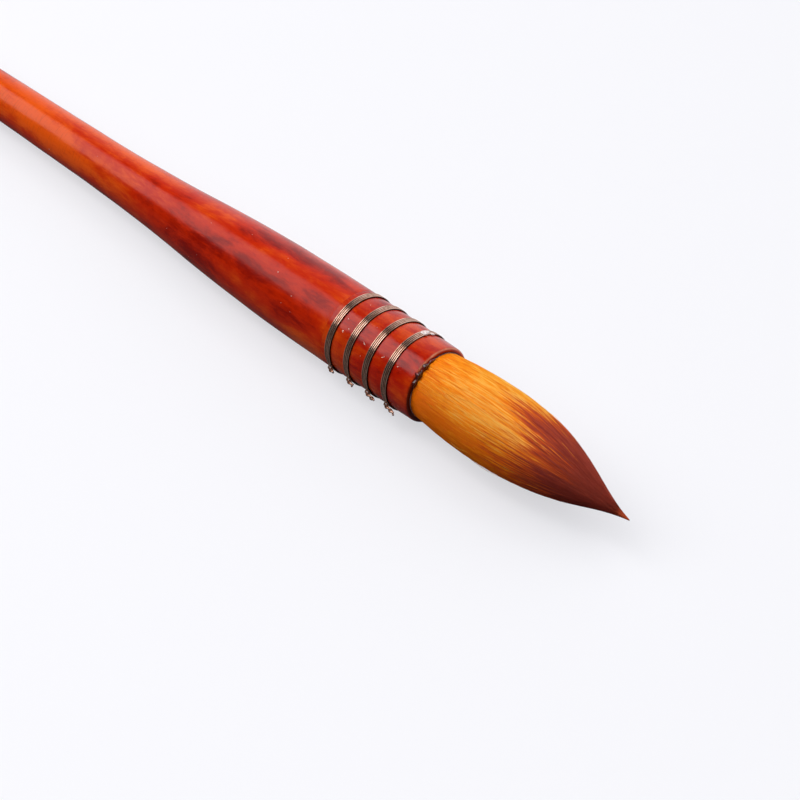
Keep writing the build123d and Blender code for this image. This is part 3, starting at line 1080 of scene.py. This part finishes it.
def hair_bundle():
    """The head's inner body, just under the outermost hairs, with ridges that run along it. It comes up
    through them near the tip, where they crowd, and closes the point."""
    size = sizes()
    rng = np.random.default_rng(looks().seed)
    columns, rows = 420, 110
    angle = columns_round(columns)
    back = -3 * MM
    outside = np.linspace(-1 * MM, size.hair_length - 0.2 * MM, rows - 1)
    along = np.concatenate([[back], outside])[:, None]
    ridge = rng.uniform(0, 1, columns)
    ridge = ridge + 0.8 * waves(31, 10, along / MM * 0.04, angle, 9.0, 60)
    crowds_at, closes_at = 0.84 * size.hair_length, 0.975 * size.hair_length
    share = 1 - 1.12 * smooth(crowds_at, closes_at, along)
    radius = hair_skin(along) - (0.10 + 0.05 * ridge) * MM * share
    points = droop(around(along, np.clip(radius, 0.04 * MM, None), angle))
    ends = droop(np.array([[back, 0, 0], [size.hair_length, 0, 0]]))
    every = place(np.concatenate([points.reshape(-1, 3), ends]))
    # The inner body is darkened with painted shade, as it lies under the hairs.
    piece = new_piece("hair_bundle", every, closed_faces(rows, columns), hair_material("shaded under hair", 0.35))
    out_side, out_up = outwards(around(0, 1, angle))
    values = {
        "along": (along / MM, ends[:, 0] / MM),
        "lot": (rng.uniform(0, 0.8, columns), [0.4, 0.4]),
        "dip_start": (dip_place(rng, angle) - 0.5, [18.0, 18.0]),
        "out_side": (out_side, [0, 0]),
        "out_up": (out_up, [0, 0]),
    }
    for name, (on_grid, at_ends) in values.items():
        on_grid = np.broadcast_to(on_grid, (rows, columns)).ravel()
        add_values(piece, **{name: np.concatenate([on_grid, at_ends])})
    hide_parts("cover_hair", "core_hair", "hair_root")
    finish_hair(piece)


def hair_strips(name, centre, thick, along, lot, start, material):
    """Single hairs, each three-sided round its centre line and closed at both ends, with the values
    that colour them. centre holds the hairs' points (along, side, up); thick is half a hair's thickness
    at each."""
    count, steps = centre.shape[:2]
    outward = centre * np.array([0.0, 1.0, 1.0])
    outward /= np.linalg.norm(outward, axis=2, keepdims=True) + 1e-9
    forward = np.gradient(centre, axis=1)
    forward /= np.linalg.norm(forward, axis=2, keepdims=True)
    beside = np.cross(forward, outward)
    side = columns_round(3)[None, None, :, None]
    rings = centre[:, :, None] + thick[:, :, None, None] * (
        np.cos(side) * outward[:, :, None] + np.sin(side) * beside[:, :, None]
    )
    points = np.concatenate([rings[:, :-1].reshape(count, -1, 3), centre[:, -1:]], axis=1)
    tip = (steps - 1) * 3
    per_hair = tip + 1
    first = (np.arange(count) * per_hair)[:, None, None]
    quads = (grid_faces(steps - 1, 3) + first).reshape(-1, 4).tolist()
    fans = (end_fan(tip - 3, 3, tip) + first).reshape(-1, 3).tolist()
    caps = (np.array([[2, 1, 0]]) + first).reshape(-1, 3).tolist()
    piece = new_piece(name, place(droop(points.reshape(-1, 3))), quads + fans + caps, material)
    spots = [along / MM, *outwards(centre)]
    spots = [np.concatenate([np.repeat(v[:, :-1], 3, axis=1), v[:, -1:]], axis=1) for v in spots]
    add_values(piece, along=spots[0], out_side=spots[1], out_up=spots[2])
    add_values(piece, lot=np.repeat(lot, per_hair), dip_start=np.repeat(start, per_hair))
    finish_hair(piece)


def hair_layer(name, seed, depth, count, material):
    """A layer of single hairs. Each runs at its own angle just under the head's skin, rises and sinks
    among the others, leans towards its lock as it goes, and ends in a fine point at its own length."""
    size = sizes()
    rng = np.random.default_rng(seed)
    angle = (np.arange(count) + rng.uniform(-0.5, 0.5, count)) * TURN / count
    t = np.linspace(0, 1, 18)[None, :] ** 0.92
    root = rng.uniform(-1.6, -0.4, count)[:, None] * MM
    reach = size.hair_length - np.abs(rng.normal(0, 1, count)) * 2.6 * MM - rng.uniform(0, 0.5, count) * MM
    short = rng.uniform(0, 1, count) < 0.25
    reach = np.where(short, reach - rng.uniform(0, 14, count) * MM, reach)[:, None]
    along = root + (reach - root) * t
    locks = 88
    lock = (np.round(angle / TURN * locks) + rng.uniform(-0.35, 0.35, count)) * TURN / locks
    pull = smooth(0.15, 1.0, along / size.hair_length)
    sway = rng.normal(0, 0.012, count)[:, None] * np.sin(t * rng.uniform(2, 8, count)[:, None])
    turn = angle[:, None] + (lock - angle)[:, None] * 0.5 * pull + sway
    turn = turn + rng.normal(0, 0.022, count)[:, None] * t
    rate = TURN / (rng.uniform(4, 11, count)[:, None] * MM)
    sink = 0.028 * np.sin(along * rate + rng.uniform(0, TURN, count)[:, None])
    sunk = (depth + rng.uniform(0, 0.06, count)[:, None] - sink) * MM
    share = smooth(0.7, 1.0, along / size.hair_length)
    radius = hair_skin(along) - sunk * (1 - 0.55 * share)
    centre = around(along, np.clip(radius, 0.01 * MM, None), turn)
    thick = size.hair * rng.uniform(0.75, 1.2, count)[:, None] * (1 - smooth(0.62, 1.0, t) * 0.85) / 2
    # Deeper layers get a lower middle lightness: painted shade under the hairs above them.
    lot = hair_lot_and_shade(rng, angle % TURN, 0.66 - 1.6 * depth)
    hair_strips(name, centre, thick, along, lot, dip_place(rng, angle % TURN), material)


def loose_hairs(count, material):
    """Hairs that stand a little off the head: each leaves it, arches up to a quarter of a millimetre
    above it, wanders sideways and comes back or ends free."""
    size = sizes()
    rng = np.random.default_rng(looks().seed + 30)
    angle = rng.uniform(0, TURN, count)
    t = np.linspace(0, 1, 25)[None, :]
    root = rng.uniform(3, 26, count)[:, None] * MM
    reach = np.minimum(root + rng.uniform(4, 14, count)[:, None] * MM, size.hair_length - 0.4 * MM)
    along = root + (reach - root) * t
    turn = angle[:, None] + rng.normal(0, 0.10, count)[:, None] * t
    turn = turn + rng.normal(0, 0.03, count)[:, None] * t**3
    free = rng.uniform(0, 1, count)[:, None] < 0.4
    arch = np.where(free, t**2, np.sin(np.pi * t) ** 1.3)
    radius = hair_skin(along) - 0.03 * MM + rng.uniform(0.05, 0.24, count)[:, None] * MM * arch
    thick = 0.24 * size.hair * rng.uniform(0.7, 1.1, count)[:, None] * (1 - 0.8 * t**4)
    start = rng.uniform(17, 26, count)
    lot = rng.uniform(0.6, 0.9, count)
    hair_strips("loose_hair", around(along, radius, turn), thick, along, lot, start, material)


class BRUSH_OT_hair(bpy.types.Operator):
    """Makes the head of hair: an inner body and layers of single hairs"""

    bl_idname = "brush.hair"
    bl_label = "Head of hair"

    def execute(self, context):
        tone = looks()
        hair_bundle()
        material = hair_material("cover hair")
        for number, depth in enumerate((0.13, 0.07, 0.02)):
            hair_layer(f"cover_hair_{number + 1}", tone.seed + 10 + number, depth, tone.hairs, material)
        loose_hairs(70, material)
        return {"FINISHED"}


# Pieces inside the tube -----------------------------------------------------------------------


class BRUSH_OT_inside(bpy.types.Operator):
    """Gives the pieces inside the tube their finish"""

    bl_idname = "brush.inside"
    bl_label = "Inside pieces"

    def execute(self, context):
        finishes = {
            "resin_plug": plain_material(
                "set resin", (0.42, 0.20, 0.06), rough=0.25, grains_per_mm=0.8, grain_height=0.02 * MM
            ),
            "root_thread": plain_material(
                "waxed thread", (0.62, 0.55, 0.42), rough=0.8, grains_per_mm=6.0, grain_height=0.05 * MM
            ),
        }
        for node, material in finishes.items():
            mesh = frame["nodes"][node].data
            mesh.materials.clear()
            mesh.materials.append(material)
        return {"FINISHED"}


# Stage ----------------------------------------------------------------------------------------


def seen_straight(nodes, path):
    """One for rays straight from the camera or through something clear, and zero for all others."""
    return nodes.math("MAXIMUM", path.outputs["Is Camera Ray"], path.outputs["Is Transmission Ray"])


def make_floor():
    """A wide pale floor that keeps the brush's shadow. It gives little light back up, and glossy rays
    see it pale behind the brush and dim in front of it."""
    tone = looks()
    material = bpy.data.materials.new("studio floor")
    material.use_nodes = True
    material.node_tree.nodes.clear()
    nodes = Nodes(material.node_tree)
    path = nodes.add("ShaderNodeLightPath")
    pale, dim = (*tone.floor, 1), tuple(c * 0.2 for c in tone.floor) + (1,)
    lit = nodes.add("ShaderNodeBsdfDiffuse")
    nodes.join(nodes.mix(path.outputs["Is Diffuse Ray"], pale, dim), lit.inputs["Color"])
    plain = nodes.add("ShaderNodeEmission")
    plain.inputs["Color"].default_value = pale
    spot = nodes.add("ShaderNodeTexCoord").outputs["Object"]
    parts = nodes.add("ShaderNodeSeparateXYZ")
    nodes.join(spot, parts.inputs[0])
    behind = nodes.spread(parts.outputs["Y"], -4 * MM, 34 * MM, 0.07, 0.95)
    glossy = path.outputs["Is Glossy Ray"]
    straight = seen_straight(nodes, path)
    mirrored = nodes.math("MULTIPLY", glossy, behind)
    nodes.join(nodes.math("ADD", straight, mirrored), plain.inputs["Strength"])
    away = nodes.add("ShaderNodeVectorMath", operation="LENGTH")
    nodes.join(spot, away.inputs[0])
    plainness = nodes.spread(away.outputs["Value"], 160 * MM, 700 * MM, 0.62, 1.0)
    seen = nodes.math("MULTIPLY", straight, plainness)
    share = nodes.math("MAXIMUM", seen, nodes.math("MULTIPLY", glossy, 0.95))
    blend = nodes.add("ShaderNodeMixShader")
    nodes.join(share, blend.inputs[0])
    nodes.join(lit.outputs[0], blend.inputs[1])
    nodes.join(plain.outputs[0], blend.inputs[2])
    output = nodes.add("ShaderNodeOutputMaterial")
    nodes.join(blend.outputs[0], output.inputs[0])
    half = 3.0
    corners = [(-half, -half, 0), (half, -half, 0), (half, half, 0), (-half, half, 0)]
    mesh = bpy.data.meshes.new("studio_floor")
    mesh.from_pydata(corners, [], [(0, 1, 2, 3)])
    mesh.materials.append(material)
    floor = bpy.data.objects.new("studio_floor", mesh)
    bpy.context.scene.collection.objects.link(floor)


def softbox(name, *, turn, lean, distance, span, width, radiance, in_gloss=True, in_diffuse=True):
    """A rectangular lamp that faces the mouth, its span along X. turn is its direction's angle about X,
    from the front horizon up and over, and lean its angle towards the handle's end, both in degrees."""
    lamp = bpy.data.lights.new(name, "AREA")
    lamp.shape = "RECTANGLE"
    lamp.size, lamp.size_y = span, width
    lamp.energy = radiance * np.pi * span * width
    turn, lean = np.radians([turn, lean])
    toward = Vector((-np.sin(lean), -np.cos(lean) * np.cos(turn), np.cos(lean) * np.sin(turn)))
    across = toward.cross(Vector((1, 0, 0))).normalized()
    along = across.cross(toward)
    box = bpy.data.objects.new(name, lamp)
    box.matrix_world = Matrix.Translation(Vector(mouth()) + toward * distance) @ (
        Matrix((along, across, toward)).transposed().to_4x4()
    )
    box.visible_glossy, box.visible_diffuse = in_gloss, in_diffuse
    bpy.context.scene.collection.objects.link(box)


def make_world():
    """Soft light from a pale wall behind the brush, little from elsewhere, and plain white to the
    camera."""
    world = bpy.data.worlds.new("studio")
    world.use_nodes = True
    bpy.context.scene.world = world
    nodes = Nodes(world.node_tree)
    background = world.node_tree.nodes["Background"]
    parts = nodes.add("ShaderNodeSeparateXYZ")
    nodes.join(nodes.add("ShaderNodeTexCoord").outputs["Generated"], parts.inputs[0])
    wall = nodes.spread(parts.outputs["Y"], 0.10, 0.8, 0.05, 1.1)
    straight = seen_straight(nodes, nodes.add("ShaderNodeLightPath"))
    nodes.join(nodes.math("MAXIMUM", wall, straight), background.inputs["Strength"])
    background.inputs["Color"].default_value = (0.94, 0.94, 0.973, 1)


def make_camera():
    """A long lens that looks down on the mouth of the tube from the hair's side."""
    azimuth, elevation, distance = np.radians(-43.43), np.radians(41.88), 321.32 * MM
    toward = Vector(
        (np.cos(elevation) * np.cos(azimuth), np.cos(elevation) * np.sin(azimuth), np.sin(elevation))
    )
    right = Vector((0, 0, 1)).cross(toward).normalized()
    above = toward.cross(right)
    lens = bpy.data.cameras.new("studio_camera")
    lens.lens = 100
    lens.sensor_width = 36
    lens.clip_start = 0.01
    camera = bpy.data.objects.new("studio_camera", lens)
    aim = Vector(mouth()) - 5.33 * MM * right - 2.06 * MM * above
    turn = Matrix((right, above, toward)).transposed()
    camera.matrix_world = Matrix.Translation(aim + toward * distance) @ turn.to_4x4()
    bpy.context.scene.collection.objects.link(camera)
    bpy.context.scene.camera = camera


class BRUSH_OT_stage(bpy.types.Operator):
    """Makes the floor, the soft lights and the camera"""

    bl_idname = "brush.stage"
    bl_label = "Stage"

    def execute(self, context):
        context.scene.view_settings.view_transform = "Standard"
        make_world()
        make_floor()
        key = {"lean": 26, "distance": 0.9, "span": 1.3}
        softbox("key_softbox", turn=64, width=0.62, radiance=1.3, **key)
        softbox("glint", turn=65, width=0.72, radiance=1.5, in_diffuse=False, **key)
        fill = {"distance": 1.2, "in_gloss": False}
        softbox("fill_over", turn=96, lean=10, span=1.3, width=1.3, radiance=1.4, **fill)
        softbox("fill_front", turn=55, lean=30, span=0.9, width=0.9, radiance=2.0, **fill)
        make_camera()
        return {"FINISHED"}


# Panel and registration -----------------------------------------------------------------------

MAKERS = (
    BRUSH_OT_stage,
    BRUSH_OT_handle,
    BRUSH_OT_tube,
    BRUSH_OT_bead,
    BRUSH_OT_wires,
    BRUSH_OT_hair,
    BRUSH_OT_inside,
)


class BRUSH_PT_panel(bpy.types.Panel):
    """Lists the makers of the brush's pieces"""

    bl_idname = "BRUSH_PT_panel"
    bl_label = "Mop brush"
    bl_space_type = "VIEW_3D"
    bl_region_type = "UI"
    bl_category = "Mop brush"

    def draw(self, context):
        for maker in MAKERS:
            self.layout.operator(maker.bl_idname)


CLASSES = (BrushSizes, BrushLooks, *MAKERS, BRUSH_PT_panel)


def register():
    for item in CLASSES:
        bpy.utils.register_class(item)
    bpy.types.Scene.brush_sizes = PointerProperty(type=BrushSizes)
    bpy.types.Scene.brush_looks = PointerProperty(type=BrushLooks)


def unregister():
    del bpy.types.Scene.brush_looks
    del bpy.types.Scene.brush_sizes
    for item in reversed(CLASSES):
        bpy.utils.unregister_class(item)


def main():
    register()
    for maker in MAKERS:
        group, name = maker.bl_idname.split(".")
        getattr(getattr(bpy.ops, group), name)()


if __name__ == "__main__":
    main()
